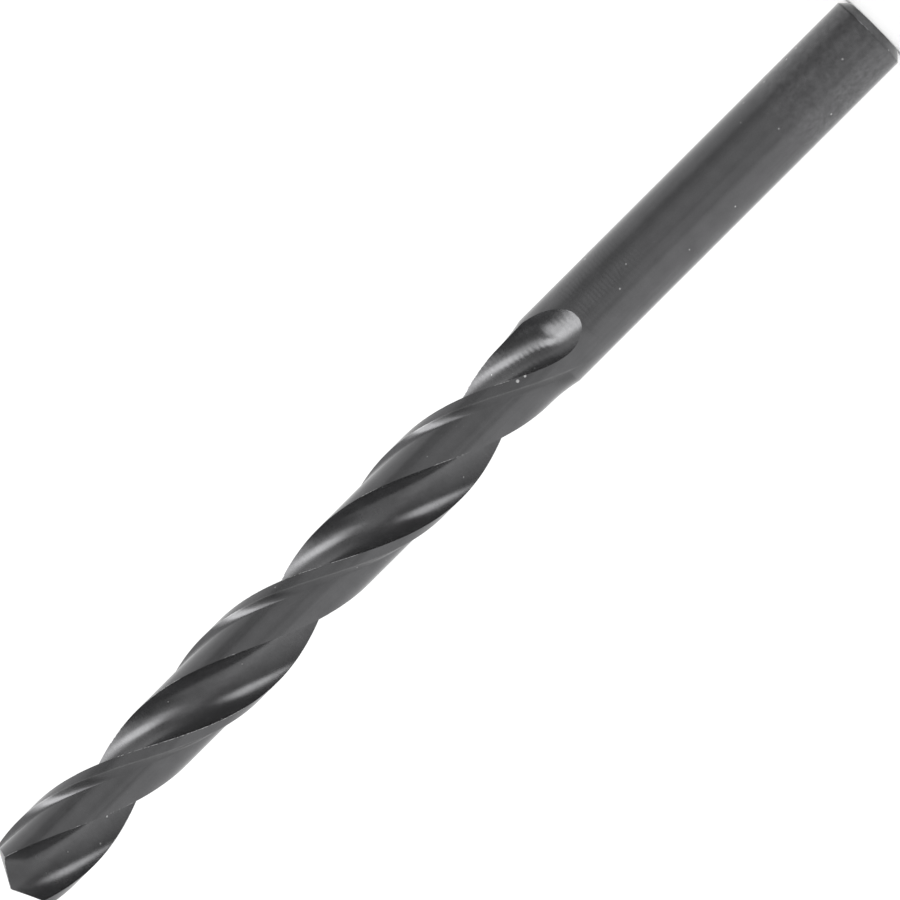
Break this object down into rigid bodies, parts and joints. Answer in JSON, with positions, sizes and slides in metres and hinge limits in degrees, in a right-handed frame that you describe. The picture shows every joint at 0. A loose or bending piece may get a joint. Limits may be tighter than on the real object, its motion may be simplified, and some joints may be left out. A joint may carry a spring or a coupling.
{
  "type": "twist drill bit",
  "caption": "Straight-shank jobber twist drill with spiral flutes, ground margins, a chisel point and a black oxide finish",
  "frame": {"origin": "centre of the flat shank end face, on the drill's axis", "axes": "+Z along the axis from the shank end to the point; the first lip runs out 31.7 degrees round from +X"},
  "size_m": [0.008, 0.008, 0.1142],
  "materials": {
    "oxide_steel": "satin black steam oxide over ground high speed steel"
  },
  "bodies": {
    "root": {"twist_drill": "oxide_steel"}
  },
  "joints": []
}
